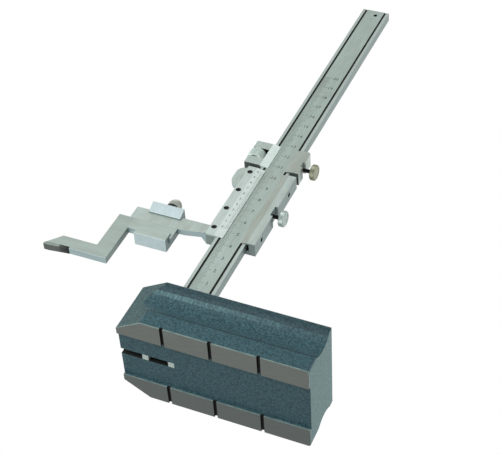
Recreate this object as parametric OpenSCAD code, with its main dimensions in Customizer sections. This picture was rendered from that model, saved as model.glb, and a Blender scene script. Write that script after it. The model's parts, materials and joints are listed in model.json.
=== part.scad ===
// Vernier height gauge, 0 to 200 mm, drawn at the reading of the reference picture.
// Millimetres. X runs along the base with the measuring arm to -X, the scale face looks to -Y,
// Z goes up the column. The origin is the middle of the base in plan, at the height of the ground rails.

/* [Base] */
// Length of the base along X
base_l = 101.6; // [80:0.2:140]
// Width of the base along Y
base_w = 54.5; // [46:0.5:80]
// Height of the base
base_h = 31; // [26:0.5:40]
// Length of the slanted corners at the arm end, along X
corner_x = 14; // [6:0.5:20]
// Depth of the slanted corners at the arm end, along Y
corner_y = 8.3; // [4:0.1:12]
// Width of each ground rail of the sole
rail_w = 12.2; // [8:0.2:16]
// Depth of the painted middle of the sole above the rails
sole_recess = 1.5; // [0.8:0.1:3]
// Width of the relief slots across the rails
relief_w = 1.6; // [0.8:0.1:2.5]
// Depth of the relief slots across the rails
relief_d = 1.2; // [0.6:0.1:2]
// Distance of the finger grooves below the base's top
grip_down = 3.8; // [3:0.1:6]
// Height of the mouth of the finger grooves
grip_h = 17.8; // [12:0.1:18]
// Depth of the finger grooves
grip_d = 3.8; // [2:0.1:4.5]
// Rounding of the base's upper edges and of its two square corners
edge_r = 1.5; // [0.8:0.1:2.5]

/* [Column] */
// Width of the column along X
col_w = 17.6; // [14:0.2:24]
// Thickness of the column along Y
col_t = 5.6; // [4.6:0.1:8]
// Height of the column top above the sole
col_top = 325.5; // [320:0.5:420]
// Distance from the arm end of the base to the column
col_in = 11.9; // [10.5:0.1:16]
// Place of the column's middle plane along Y
col_y = -2.3; // [-5:0.1:0]
// Distance of the dark border lines from the column's edges
line_in = 2.45; // [1.8:0.05:3.5]
// Width of the border lines
line_w = 1; // [0.5:0.1:1.5]
// Depth of the border lines
line_d = 0.4; // [0.2:0.1:0.8]
// Diameter of the hole near the column top
hole_d = 2.2; // [1.5:0.1:4]
// Distance of that hole below the column top
hole_down = 5.2; // [4:0.1:8]
// Distance of that hole from the column's middle
hole_off = 1.2; // [0:0.1:2]
// Width of the arch under the column foot
arch_w = 10.8; // [5:0.2:11]
// Height of the arch under the column foot
arch_h = 6; // [2:0.5:12]
// Width of the slit in the base, and thickness of the column's foot in it
slit_w = 3.4; // [2.4:0.1:5]
// Height of that thinner foot
foot_h = 7; // [5:0.5:12]

/* [Slider] */
// Height of the scriber's face above the sole, the reading drawn
reading = 52; // [20:1:150]
// Height of the slider
slider_h = 59.8; // [55:0.2:70]
// Thickness of the slider in front of the column
lip = 1.2; // [1:0.1:2]
// Thickness of the slider behind the column
back_wall = 1.6; // [1.2:0.1:3]
// Thickness of the slider's wall at the arm side of the column
left_wall = 6.1; // [5.2:0.1:9]
// Thickness of the slider's wall at the lock screw side
right_wall = 3.7; // [3:0.1:5]
// Space for the gib between column and slider
gib_gap = 1.6; // [1.4:0.1:3]
// Width of the gib along Y
gib_w = 4; // [3.4:0.1:5]
// Overlap of the slider's front lip on the column
lip_over = 3.2; // [2:0.1:3.6]
// Width of the bevel on that lip
lip_bevel = 4; // [2:0.1:5]
// Thickness of the lip's and the plates' bevelled edges
bevel_edge = 0.3; // [0.2:0.05:0.6]
// Length of the arm, from the slider to its free end
arm_l = 44.3; // [36:0.1:60]
// Height of the arm
arm_h = 8.9; // [7:0.1:10]
// Distance of the arm's lower face below the slider's lower end
arm_low = 2.4; // [0:0.1:3]
// Length of the rise of the arm's lower face to the slider
arm_rise = 12; // [6:0.5:14]
// Thickness of the arm along Y
arm_t = 3.8; // [3:0.1:5]
// Length of the slope from the arm's thickness to the slider's
arm_slope = 2.4; // [2:0.2:6]
// Lower radius of the ear that holds the fine adjustment rod
ear_r = 8; // [6:0.2:9]
// Upper radius of that ear
ear_top_r = 4.7; // [3:0.1:6]
// Height of the ear
ear_h = 17.8; // [15:0.2:22]
// Thickness of the ear
ear_t = 2.4; // [1.6:0.1:4]
// Reach of the ear beyond the slider's side
ear_out = 5; // [4.5:0.1:7]
// Distance of the ear's top below the slider's upper end
ear_down = 2; // [0.5:0.1:4]
// Diameter of the boss behind the ear, round the rod
boss_d = 5.6; // [4.4:0.1:7]
// Thickness of the boss under the rod's end
boss_floor = 2; // [1:0.1:3]
// Height of the notch round the slider's lock screw
notch_h = 7.5; // [6:0.1:12]
// Depth of the notch round the slider's lock screw
notch_d = 1.6; // [0.8:0.1:1.8]
// Height of the notch round the carriage's lock screw
car_notch_h = 4.4; // [3.4:0.1:6]
// Height of the slider's lock screw above the slider's lower end
lock_up = 28.8; // [24:0.2:36]
// Thickness of the gib strip
gib_t = 1; // [0.8:0.1:1.2]
// Distance of the gib screws from the lock screw
gib_pitch = 19.6; // [14:0.2:24]
// Distance of the gib's ends from the slider's ends
gib_end = 2.6; // [1:0.1:5]
// Depth of the gib screws below the slider's side
gib_sink = 1; // [0.5:0.1:1.5]

/* [Vernier plate] */
// Distance of the plate's lower end above the slider's lower end
plate_up = 0; // [0:0.1:4]
// Width of the flat part of the plate
plate_flat = 5; // [4:0.1:6]
// Width of the bevelled part of the plate
plate_bevel = 5.2; // [4:0.1:6]
// Distance of the lowest plate screw above the plate's lower end
plate_first = 6; // [4:0.1:8]
// Distance of the highest plate screw below the plate's upper end
plate_last = 4.6; // [4:0.1:8]
// Number of plate screws
plate_screws = 4; // [2:1:6]
// Head diameter of the plate screws
plate_screw_d = 3; // [2:0.1:4]
// Length of the plate screws
plate_screw_l = 4; // [3:0.1:6]
// Free depth behind the plate screws
plate_room = 0.4; // [0.3:0.1:0.8]
// Width of the driver slots
slot_w = 0.5; // [0.4:0.1:0.8]
// Depth of the driver slots
slot_d = 0.6; // [0.4:0.1:0.9]

/* [Fine adjustment carriage] */
// Gap between slider and carriage
gap = 2.8; // [2.4:0.1:4]
// Height of the carriage
car_h = 20.2; // [18:0.1:24]
// Reach of the carriage beyond the column at the nut side
car_left = 10.5; // [9.8:0.1:12]
// Thickness of the carriage at the lock screw side of the column
car_right = 5.3; // [4.6:0.1:6]
// Rounding of the carriage's upper corner
car_round = 2; // [1:0.2:5]
// Distance of the rod's axis from the column's side
rod_in = 7.3; // [7:0.1:8]
// Diameter of the fine adjustment rod
rod_d = 2.5; // [2:0.1:3]
// Depth of the rod in the slider's ear
rod_deep = 9; // [6:0.5:12]
// Distance of the rod's end below the carriage's upper end
rod_short = 0.8; // [0.4:0.1:2]
// Diameter of the knurled nut
nut_d = 10; // [8.4:0.1:10.4]
// Chamfer of the nut's rims
nut_edge = 0.6; // [0.3:0.1:1]
// Height of the knurled nut
nut_h = 7.2; // [5:0.1:9]
// Height of the nut window's lower edge above the carriage's lower end
window_up = 6.5; // [4:0.1:8]
// Free width of the nut's window beside the nut
window_room = 1.3; // [0.3:0.1:1.4]
// Distance of the bright strip from the nut's window
cover_gap = 0.2; // [0.2:0.1:0.6]
// Width of the bright strip
cover_w = 4.9; // [4.4:0.1:6]
// Width of the flat part of the bright strip
cover_flat = 1.2; // [0.6:0.1:2]
// Height of the carriage's lock screw above its lower end
car_lock_up = 8.7; // [6:0.1:12]

/* [Lock screws] */
// Diameter of the lock screw studs
stud_d = 2.5; // [2:0.1:3.5]
// Diameter of the lock screw knobs
knob_d = 9.2; // [6:0.1:10]
// Thickness of the lock screw knobs
knob_t = 3.4; // [2.4:0.1:5]
// Chamfer of the knobs' rims
knob_edge = 0.6; // [0.3:0.1:1]
// Distance of the slider's knob from the slider's side
knob_off = 2.8; // [1:0.1:5]
// Distance of the carriage's knob from the carriage's side
car_knob_off = 4.4; // [1:0.1:8]
// Diameter of the gib screws
gib_screw_d = 2.5; // [2:0.1:3]

/* [Scriber] */
// Height of the scriber, from its face to the arm
scriber_h = 35.8; // [30:0.2:45]
// Thickness of the scriber
scriber_t = 4.2; // [3.4:0.1:6]
// Height of the scriber's shank under the arm
shank_h = 8.2; // [6:0.1:10]
// Length of the shank beyond the riser
shank_l = 26.1; // [22:0.1:32]
// Width of the riser
riser_w = 9.4; // [6:0.1:12]
// Height of the lower limb
limb_h = 9.4; // [7:0.1:11]
// Reach of the lower limb from the riser's inner side to the tip
limb_l = 37.5; // [28:0.1:48]
// Length of the bevel at the tip
tip_l = 7.5; // [4:0.1:12]
// Height of the tip's end
tip_h = 1.1; // [0.5:0.1:2]
// Length of the hard tip plate
carbide_l = 15; // [10:0.5:20]
// Height of the hard tip plate
carbide_h = 2.6; // [2:0.1:3.5]
// Relief of the limb behind the hard tip plate
limb_relief = 1.4; // [0.5:0.1:1.8]
// Distance of the riser's inner side from the arm's free end
riser_in = 2.8; // [0.5:0.1:4]

/* [Scriber clamp] */
// Length of the clamp along X
clamp_l = 19.2; // [14:0.1:24]
// Distance of the clamp from the riser
clamp_in = 5.4; // [5.2:0.1:8]
// Thickness of the clamp below the shank
clamp_low = 4; // [3:0.1:7]
// Thickness of the clamp above the arm
clamp_high = 3.4; // [3:0.1:6]
// Thickness of the clamp behind arm and shank
clamp_back = 3.2; // [2:0.1:5]
// Thickness of the clamp's lower lip
clamp_lip = 1.2; // [0.8:0.1:2]
// Thickness of the clamp's upper lip at its edge
clamp_nose = 1; // [0.8:0.1:2]
// Height of the clamp's lower lip in front of the shank
lip_low = 2.5; // [1.5:0.1:4]
// Height of the clamp's upper lip in front of the arm
lip_high = 2.5; // [1.5:0.1:4]
// Overhang of the clamp's upper lip
lip_lean = 2.3; // [0:0.1:3]
// Diameter of the clamp screw
clamp_screw_d = 3; // [2.5:0.1:4]
// Diameter of the clamp screw's head
clamp_head_d = 8; // [6:0.1:10]
// Height of the clamp screw's head
clamp_head_h = 9.5; // [7:0.1:12]
// Height of the dome on that head
dome_h = 5.4; // [3:0.1:6]
// Chamfer under that head
head_edge = 0.4; // [0.2:0.1:0.8]
// Distance of the clamp screw from the clamp's middle
clamp_screw_off = 0.7; // [-3:0.1:3]

/* [Column clamp screw] */
// Diameter of the screw across the base's slit
pinch_d = 5; // [4:0.5:6]
// Height of that screw above the sole
pinch_z = 15.5; // [10:0.5:20]
// Diameter of its head
pinch_head_d = 8.5; // [7:0.5:10]
// Height of its head
pinch_head_h = 5; // [4:0.5:6]
// Reach of the screw in front of the column
pinch_front = 8; // [6:0.5:10]
// Distance of its head behind the column
pinch_back = 11; // [9:0.5:12]
// Diameter of the socket in its head
socket_d = 4; // [3:0.5:5]
// Depth of that socket
socket_deep = 2.5; // [2:0.5:3]

/* [Fits] */
// Running clearance of the slides
run = 0.03; // [0.02:0.01:0.06]
// Radial clearance of screws in their holes
fit = 0.05; // [0.03:0.01:0.1]
// Free space round parts that turn
free = 0.3; // [0.3:0.05:0.5]

/* [Hidden] */
$fn = 64;
base_x0 = -base_l / 2;
base_points = [
    [base_x0, corner_y - base_w / 2], [base_x0 + corner_x, -base_w / 2], [base_l / 2, -base_w / 2],
    [base_l / 2, base_w / 2], [base_x0 + corner_x, base_w / 2], [base_x0, base_w / 2 - corner_y]];
grip_z = base_h - grip_down - grip_h / 2;
grip_r = (grip_h * grip_h / 4 + grip_d * grip_d) / (2 * grip_d);
col_x0 = base_x0 + col_in;
col_x1 = col_x0 + col_w;
col_x = (col_x0 + col_x1) / 2;
col_yf = col_y - col_t / 2;
col_yb = col_y + col_t / 2;
slit_yf = col_yb - slit_w;
foot_z = sole_recess + foot_h;
slide_yf = col_yf - lip;
slide_yb = col_yb + run + back_wall;
lip_x0 = col_x1 - lip_over;
lip_x1 = lip_x0 + lip_bevel;
arm_z0 = reading + scriber_h;
slider_z0 = arm_z0 + arm_low;
slider_z1 = slider_z0 + slider_h;
slider_x0 = col_x0 - left_wall;
slider_x1 = col_x1 + gib_gap + right_wall;
lock_z = slider_z0 + lock_up;
gib_x0 = col_x1 + run;
gib_x1 = gib_x0 + gib_t;
gib_yb = col_yf + gib_w;
plate_z0 = slider_z0 + plate_up;
plate_yb = col_yf - run;
plate_x1 = slider_x0 + plate_flat + plate_bevel;
plate_screw_x = slider_x0 + plate_flat / 2;
plate_pitch = (slider_z1 - plate_last - plate_z0 - plate_first) / (plate_screws - 1);
plate_screw_z = [for (k = [0 : plate_screws - 1]) plate_z0 + plate_first + k * plate_pitch];
arm_x0 = slider_x0 - arm_l;
ear_x0 = slider_x0 - ear_out;
ear_z1 = slider_z1 - ear_down;
car_z0 = slider_z1 + gap;
car_z1 = car_z0 + car_h;
car_x0 = col_x0 - car_left;
car_x1 = col_x1 + run + car_right;
car_lock_z = car_z0 + car_lock_up;
rod_x = col_x0 - rod_in;
window_z0 = car_z0 + window_up;
window_z1 = window_z0 + nut_h + 2 * free;
window_x1 = rod_x + nut_d / 2 + window_room;
cover_x0 = window_x1 + cover_gap;
cover_x1 = cover_x0 + cover_w;
rod_z0 = slider_z1 - rod_deep;
rod_z1 = car_z1 - rod_short;
riser_x1 = arm_x0 + riser_in;
riser_x0 = riser_x1 - riser_w;
shank_x1 = riser_x1 + shank_l;
tip_x = riser_x1 - limb_l;
shank_z0 = arm_z0 - shank_h;
limb_z1 = reading + limb_h;
tip_run = (carbide_h - tip_h) * tip_l / (limb_h - tip_h);
clamp_x0 = riser_x1 + clamp_in;
clamp_x1 = clamp_x0 + clamp_l;
clamp_x = (clamp_x0 + clamp_x1) / 2 + clamp_screw_off;
arm_z1 = arm_z0 + arm_h;
clamp_yi = slide_yf + scriber_t + run;
clamp_yf = slide_yf - run;
clamp_z0 = shank_z0 - clamp_low;
clamp_zi = arm_z1 + free;
clamp_z1 = clamp_zi + clamp_high;
clamp_screw_y = slide_yf + arm_t / 2;
head_z0 = clamp_z1 + free;
head_z1 = head_z0 + clamp_head_h;
pinch_x = base_x0 + col_in / 2;
pinch_y0 = col_yf - pinch_front;
pinch_y1 = col_yb + pinch_back;
pinch_y2 = pinch_y1 + pinch_head_h;

// A box from one corner to the opposite one
module box(a, b) {
    translate(a) cube(b - a);
}

// A round bar along X, from x0 to x1
module bar_x(x0, x1, y, z, d) {
    translate([x0, y, z]) rotate([0, 90, 0]) cylinder(d = d, h = x1 - x0);
}

// A round bar along Y, from y0 to y1
module bar_y(y0, y1, x, z, d) {
    translate([x, y1, z]) rotate([90, 0, 0]) cylinder(d = d, h = y1 - y0);
}

// A plan drawn in X and Z, thick from y0 to y1
module slab_y(y0, y1) {
    translate([0, y1, 0]) rotate([90, 0, 0]) linear_extrude(y1 - y0) children();
}

// Section of a cutter that rounds a corner, with the solid at -X and -Y of it
module corner_cut(r) {
    difference() {
        translate([-r, -r]) square(2 * r);
        translate([-r, -r]) circle(r = r);
    }
}

// Cutter that rounds the upper edge of the base between two points of its outline
module top_cut(p, q) {
    along = atan2(q[1] - p[1], q[0] - p[0]);
    translate([q[0], q[1], base_h]) rotate([90, 0, along - 90]) translate([0, 0, -3 * edge_r])
        linear_extrude(norm(q - p) + 6 * edge_r) corner_cut(edge_r);
}

// Heavy painted foot: two ground rails, finger grooves, and a slit that pinches the column
module base_casting() {
    color([0.27, 0.36, 0.40]) difference() {
        linear_extrude(base_h) polygon(base_points);
        for (k = [0 : len(base_points) - 1]) {
            top_cut(base_points[k], base_points[(k + 1) % len(base_points)]);
        }
        for (s = [-1, 1]) {
            translate([base_l / 2, s * base_w / 2, -1]) rotate([0, 0, s * 45 - 45])
                linear_extrude(base_h + 2) corner_cut(edge_r);
        }
        box([base_x0 - 1, -base_w / 2 + rail_w, -1], [base_l / 2 + 1, base_w / 2 - rail_w, sole_recess]);
        for (k = [-1, 0, 1]) {
            translate([k * base_l / 4, 0, 0])
                box([-relief_w / 2, -base_w, -1], [relief_w / 2, base_w, relief_d]);
        }
        for (s = [-1, 1]) {
            translate([0, s * (base_w / 2 - grip_d + grip_r), grip_z]) rotate([0, 90, 0])
                cylinder(r = grip_r, h = base_l + 2, center = true, $fn = 128);
        }
        box([base_x0 - 1, slit_yf, -1], [col_x1, col_yb, base_h + 1]);
        box([col_x0, col_yf, foot_z], [col_x1, col_yb, base_h + 1]);
        bar_y(pinch_y0 - 1, pinch_y1 + 1, pinch_x, pinch_z, pinch_d + 2 * fit);
        bar_y(pinch_y1, base_w, pinch_x, pinch_z, pinch_head_d + 2 * free);
    }
}

// Screw across the slit of the base, its head sunk in the back
module column_clamp_screw() {
    color([0.16, 0.16, 0.17]) difference() {
        union() {
            bar_y(pinch_y0, pinch_y1 + 1, pinch_x, pinch_z, pinch_d);
            bar_y(pinch_y1, pinch_y2, pinch_x, pinch_z, pinch_head_d);
        }
        bar_y(pinch_y2 - socket_deep, pinch_y2 + 1, pinch_x, pinch_z, socket_d);
    }
}

// Flat ground bar with two border lines, a hole at the top and a thinner foot with an arch
module column() {
    color([0.66, 0.70, 0.68]) difference() {
        box([col_x0, col_yf, sole_recess], [col_x1, col_yb, col_top]);
        for (x = [col_x0 + line_in, col_x1 - line_in]) {
            box([x - line_w / 2, col_yf - 1, base_h], [x + line_w / 2, col_yf + line_d, col_top + 1]);
        }
        bar_y(col_yf - 1, col_yb + 1, col_x + hole_off, col_top - hole_down, hole_d);
        box([col_x0 - 1, col_yf - 1, sole_recess - 1], [col_x1 + 1, slit_yf, foot_z]);
        box([col_x - arch_w / 2, col_yf - 1, sole_recess - 1],
            [col_x + arch_w / 2, col_yb + 1, sole_recess + arch_h]);
    }
}

// Plan of the arm with the slope up to the slider's thickness
module arm_plan() {
    polygon([
        [arm_x0, slide_yf], [slider_x0 + 1, slide_yf], [slider_x0 + 1, slide_yb], [slider_x0, slide_yb],
        [slider_x0 - arm_slope, slide_yf + arm_t], [arm_x0, slide_yf + arm_t]]);
}

// Side of the arm, its lower face rising to the slider's lower end
module arm_side() {
    polygon([
        [arm_x0, arm_z0], [slider_x0 - arm_rise, arm_z0], [slider_x0, slider_z0], [slider_x0 + 1, slider_z0],
        [slider_x0 + 1, arm_z1], [arm_x0, arm_z1]]);
}

// Rounded ear beside the upper end of the slider, seen from the front
module ear_plan() {
    intersection() {
        hull() {
            translate([ear_x0 + ear_top_r, ear_z1 - ear_top_r]) circle(r = ear_top_r);
            translate([ear_x0 + ear_r, ear_z1 - ear_h + ear_r]) circle(r = ear_r);
        }
        translate([ear_x0 - 1, ear_z1 - ear_h - 1]) square([ear_out + 2, ear_h + 2]);
    }
}

// Cutter that bevels a front lip down to the column's face
module lip_cut(z0, z1) {
    translate([0, 0, z0 - 1]) linear_extrude(z1 - z0 + 2) polygon([
        [lip_x0, plate_yb - bevel_edge], [lip_x1, slide_yf], [lip_x1, slide_yf - 1],
        [lip_x0 - 1, slide_yf - 1], [lip_x0 - 1, plate_yb - bevel_edge]]);
}

// Slider round the column, in one piece with the measuring arm
module slider_body() {
    color([0.66, 0.70, 0.67]) difference() {
        union() {
            box([slider_x0, slide_yf, slider_z0], [slider_x1, slide_yb, slider_z1]);
            intersection() {
                translate([0, 0, arm_z0]) linear_extrude(arm_h) arm_plan();
                slab_y(slide_yf - 1, slide_yb + 1) arm_side();
            }
            slab_y(slide_yf, slide_yf + ear_t) ear_plan();
            translate([rod_x, col_y, rod_z0 - boss_floor])
                cylinder(d = boss_d, h = ear_z1 - rod_z0 + boss_floor);
        }
        box([col_x0 - run, col_yf - run, slider_z0 - 1], [col_x1 + run, col_yb + run, slider_z1 + 1]);
        box([col_x1 - 1, col_yf - run, slider_z0 - 1], [col_x1 + gib_gap, gib_yb + run, slider_z1 + 1]);
        box([col_x0 - run, slide_yf - 1, slider_z0 - 1], [lip_x0, col_y, slider_z1 + 1]);
        lip_cut(slider_z0, slider_z1);
        box([slider_x0, slide_yf - 1, plate_z0], [col_x0, plate_yb, slider_z1 + 1]);
        box([slider_x1 - notch_d, slide_yf - 1, lock_z - notch_h / 2],
            [slider_x1 + 1, slide_yb + 1, lock_z + notch_h / 2]);
        bar_x(col_x1, slider_x1 + 1, col_y, lock_z, stud_d + 2 * fit);
        for (s = [-1, 1]) {
            bar_x(col_x1, slider_x1 + 1, col_y, lock_z + s * gib_pitch, gib_screw_d + 2 * fit);
        }
        for (z = plate_screw_z) {
            bar_y(slide_yf, slide_yf + plate_screw_l + plate_room, plate_screw_x, z, plate_screw_d + 2 * fit);
        }
        translate([rod_x, col_y, rod_z0]) cylinder(d = rod_d + 2 * fit, h = rod_deep + 1);
    }
}

// Plate that carries the vernier, bevelled down to the column's face
module vernier_plate() {
    color([0.86, 0.90, 0.88]) difference() {
        translate([0, 0, plate_z0]) linear_extrude(slider_z1 - plate_z0) polygon([
            [slider_x0, slide_yf], [slider_x0 + plate_flat, slide_yf], [plate_x1, plate_yb - bevel_edge],
            [plate_x1, plate_yb], [slider_x0, plate_yb]]);
        for (z = plate_screw_z) {
            bar_y(slide_yf - 1, plate_yb + 1, plate_screw_x, z, plate_screw_d + 2 * fit);
        }
    }
}

// Slotted screws of the vernier plate
module vernier_screws() {
    color([0.07, 0.07, 0.08]) for (z = plate_screw_z) {
        difference() {
            bar_y(slide_yf, slide_yf + plate_screw_l, plate_screw_x, z, plate_screw_d);
            box([plate_screw_x - plate_screw_d, slide_yf - 1, z - slot_w / 2],
                [plate_screw_x + plate_screw_d, slide_yf + slot_d, z + slot_w / 2]);
        }
    }
}

// Strip between the column and the slider's screws
module gib_strip() {
    color([0.72, 0.56, 0.28])
        box([gib_x0, col_yf, slider_z0 + gib_end], [gib_x1, gib_yb, slider_z1 - gib_end]);
}

// Two sunk screws that set the gib
module gib_screws() {
    color([0.16, 0.16, 0.17]) for (s = [-1, 1]) {
        z = lock_z + s * gib_pitch;
        difference() {
            bar_x(gib_x1, slider_x1 - gib_sink, col_y, z, gib_screw_d);
            box([slider_x1 - gib_sink - slot_d, col_y - gib_screw_d, z - slot_w / 2],
                [slider_x1, col_y + gib_screw_d, z + slot_w / 2]);
        }
    }
}

// Round knob with a bore for its stud
module knob(x, z) {
    difference() {
        translate([x, col_y, z]) rotate([0, 90, 0]) rotate_extrude() polygon([
            [0, 0], [knob_d / 2 - knob_edge, 0], [knob_d / 2, knob_edge], [knob_d / 2, knob_t - knob_edge],
            [knob_d / 2 - knob_edge, knob_t], [0, knob_t]]);
        bar_x(x - 1, x + knob_t / 2, col_y, z, stud_d + 2 * fit);
    }
}

// Stud that presses the gib to the column
module slider_lock_stud() {
    color([0.20, 0.20, 0.21]) bar_x(gib_x1, slider_x1 + knob_off + knob_t / 2, col_y, lock_z, stud_d);
}

// Knob of the slider's lock screw
module slider_lock_knob() {
    color([0.72, 0.76, 0.74]) knob(slider_x1 + knob_off, lock_z);
}

// Carriage above the slider, with the window of the fine adjustment nut
module carriage_body() {
    color([0.64, 0.68, 0.65]) difference() {
        box([car_x0, slide_yf, car_z0], [car_x1, slide_yb, car_z1]);
        box([col_x0 - run, col_yf - run, car_z0 - 1], [col_x1 + run, col_yb + run, car_z1 + 1]);
        box([col_x0 - run, slide_yf - 1, car_z0 - 1], [lip_x0, col_y, car_z1 + 1]);
        lip_cut(car_z0, car_z1);
        box([cover_x0, slide_yf - 1, car_z0 - 1], [col_x0, plate_yb, car_z1 + 1]);
        box([car_x0 - 1, slide_yf - 1, window_z0], [window_x1, slide_yb + 1, window_z1]);
        translate([rod_x, col_y, car_z0 - 1]) cylinder(d = rod_d + 2 * free, h = car_h + 2);
        bar_x(col_x1, car_x1 + 1, col_y, car_lock_z, stud_d + 2 * fit);
        box([car_x1 - notch_d, slide_yf - 1, car_lock_z - car_notch_h / 2],
            [car_x1 + 1, slide_yb + 1, car_lock_z + car_notch_h / 2]);
        slab_y(slide_yf - 1, slide_yb + 1) translate([car_x1, car_z1]) corner_cut(car_round);
    }
}

// Bright bevelled strip of the carriage
module carriage_cover() {
    color([0.86, 0.90, 0.88]) translate([0, 0, car_z0]) linear_extrude(car_h) polygon([
        [cover_x0, slide_yf], [cover_x0 + cover_flat, slide_yf], [cover_x1, plate_yb - bevel_edge],
        [cover_x1, plate_yb], [cover_x0, plate_yb]]);
}

// Stud that presses on the column's side
module carriage_lock_stud() {
    color([0.20, 0.20, 0.21]) bar_x(col_x1, car_x1 + car_knob_off + knob_t / 2, col_y, car_lock_z, stud_d);
}

// Knob of the carriage's lock screw
module carriage_lock_knob() {
    color([0.74, 0.72, 0.62]) knob(car_x1 + car_knob_off, car_lock_z);
}

// Threaded rod fixed in the slider's ear
module fine_rod() {
    color([0.50, 0.53, 0.52]) translate([rod_x, col_y, rod_z0]) cylinder(d = rod_d, h = rod_z1 - rod_z0);
}

// Knurled nut that turns in the carriage's window
module fine_nut() {
    color([0.72, 0.76, 0.74]) difference() {
        translate([rod_x, col_y, window_z0 + free]) rotate_extrude() polygon([
            [0, 0], [nut_d / 2 - nut_edge, 0], [nut_d / 2, nut_edge], [nut_d / 2, nut_h - nut_edge],
            [nut_d / 2 - nut_edge, nut_h], [0, nut_h]]);
        translate([rod_x, col_y, window_z0]) cylinder(d = rod_d + 2 * fit, h = nut_h + 2);
    }
}

// Clamp hooked round the arm and the scriber's shank
module scriber_clamp() {
    color([0.70, 0.75, 0.74]) difference() {
        translate([clamp_x0, 0, 0]) rotate([90, 0, 90]) linear_extrude(clamp_l) polygon([
            [clamp_yf - clamp_nose - lip_lean, clamp_z1], [clamp_yi + clamp_back, clamp_z1],
            [clamp_yi + clamp_back, clamp_z0], [clamp_yf - clamp_lip, clamp_z0],
            [clamp_yf - clamp_lip, shank_z0 + lip_low], [clamp_yf, shank_z0 + lip_low],
            [clamp_yf, shank_z0], [clamp_yi, shank_z0], [clamp_yi, clamp_zi], [clamp_yf, clamp_zi],
            [clamp_yf, arm_z1 - lip_high], [clamp_yf - clamp_nose, arm_z1 - lip_high]]);
        translate([clamp_x, clamp_screw_y, clamp_zi - 1])
            cylinder(d = clamp_screw_d + 2 * fit, h = clamp_high + 2);
    }
}

// Screw of the clamp, its point on the arm
module clamp_screw() {
    shank = [[0, arm_z1], [clamp_screw_d / 2, arm_z1], [clamp_screw_d / 2, head_z0],
        [clamp_head_d / 2 - head_edge, head_z0], [clamp_head_d / 2, head_z0 + head_edge]];
    dome = [for (a = [0 : 15 : 75]) [clamp_head_d / 2 * cos(a), head_z1 - dome_h * (1 - sin(a))]];
    color([0.62, 0.64, 0.62]) translate([clamp_x, clamp_screw_y, 0])
        rotate_extrude() polygon(concat(shank, dome, [[0, head_z1]]));
}

// Stepped scriber under the arm
module scriber_body() {
    color([0.67, 0.71, 0.68]) slab_y(slide_yf, slide_yf + scriber_t) difference() {
        polygon([
            [shank_x1, arm_z0], [riser_x0, arm_z0], [riser_x0, limb_z1], [tip_x + tip_l, limb_z1],
            [tip_x, reading + tip_h], [tip_x, reading], [tip_x + carbide_l, reading],
            [tip_x + carbide_l, reading + limb_relief],
            [riser_x1, reading + limb_relief], [riser_x1, shank_z0], [shank_x1, shank_z0]]);
        translate([tip_x - 1, reading - 1]) square([carbide_l + 1, carbide_h + 1]);
    }
}

// Hard plate under the scriber's tip
module carbide_tip() {
    color([0.34, 0.36, 0.36]) slab_y(slide_yf, slide_yf + scriber_t) polygon([
        [tip_x, reading], [tip_x, reading + tip_h], [tip_x + tip_run, reading + carbide_h],
        [tip_x + carbide_l, reading + carbide_h], [tip_x + carbide_l, reading]]);
}

base_casting();
column();
column_clamp_screw();
slider_body();
vernier_plate();
vernier_screws();
gib_strip();
gib_screws();
slider_lock_stud();
slider_lock_knob();
carriage_body();
carriage_cover();
carriage_lock_stud();
carriage_lock_knob();
fine_rod();
fine_nut();
scriber_clamp();
clamp_screw();
scriber_body();
carbide_tip();
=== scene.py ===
# %% [markdown]
# # Dressing a vernier height gauge
# A height gauge stands on a heavy painted foot. A slider with an arm and a scriber rides on its upright
# column, and a vernier on the slider reads the height. The CAD solids give every size and place. This
# lesson loads them as a fixed frame and adds what a drawing leaves out: broken edges, knurls, threads,
# engraved scales, and the paint and ground steel that light shows.

import json
import math

import bpy
from mathutils import Matrix, Vector


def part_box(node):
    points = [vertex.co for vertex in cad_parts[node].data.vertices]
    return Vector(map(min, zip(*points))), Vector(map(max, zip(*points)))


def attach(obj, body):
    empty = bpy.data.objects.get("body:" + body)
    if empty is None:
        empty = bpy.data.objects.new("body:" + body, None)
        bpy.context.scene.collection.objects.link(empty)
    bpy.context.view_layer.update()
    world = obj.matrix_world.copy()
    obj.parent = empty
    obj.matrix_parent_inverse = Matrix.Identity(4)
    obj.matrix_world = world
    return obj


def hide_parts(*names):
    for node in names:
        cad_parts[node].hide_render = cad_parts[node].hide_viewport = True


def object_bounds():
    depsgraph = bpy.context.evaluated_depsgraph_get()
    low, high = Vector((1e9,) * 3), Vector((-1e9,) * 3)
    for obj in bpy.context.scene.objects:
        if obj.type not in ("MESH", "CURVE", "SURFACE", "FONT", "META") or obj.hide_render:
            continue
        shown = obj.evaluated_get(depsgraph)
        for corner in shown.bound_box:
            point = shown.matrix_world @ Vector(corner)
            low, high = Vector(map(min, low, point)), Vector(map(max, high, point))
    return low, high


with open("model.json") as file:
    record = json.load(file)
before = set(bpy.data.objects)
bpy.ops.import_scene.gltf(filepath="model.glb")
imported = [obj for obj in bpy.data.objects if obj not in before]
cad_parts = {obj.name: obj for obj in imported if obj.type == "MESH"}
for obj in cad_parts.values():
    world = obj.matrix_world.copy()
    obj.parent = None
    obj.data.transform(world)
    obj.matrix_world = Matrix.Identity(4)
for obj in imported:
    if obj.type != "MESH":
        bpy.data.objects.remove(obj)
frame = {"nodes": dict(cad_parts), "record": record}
cad_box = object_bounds()
MM = 0.001
scene = bpy.context.scene
record = frame["record"]
BODY_OF = {node: body for body, nodes in record["behaviour"]["bodies"].items() for node in nodes}
bpy.ops.object.select_all(action="DESELECT")
print("CAD box in millimetres:", [round(v / MM, 1) for corner in cad_box for v in corner])

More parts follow.
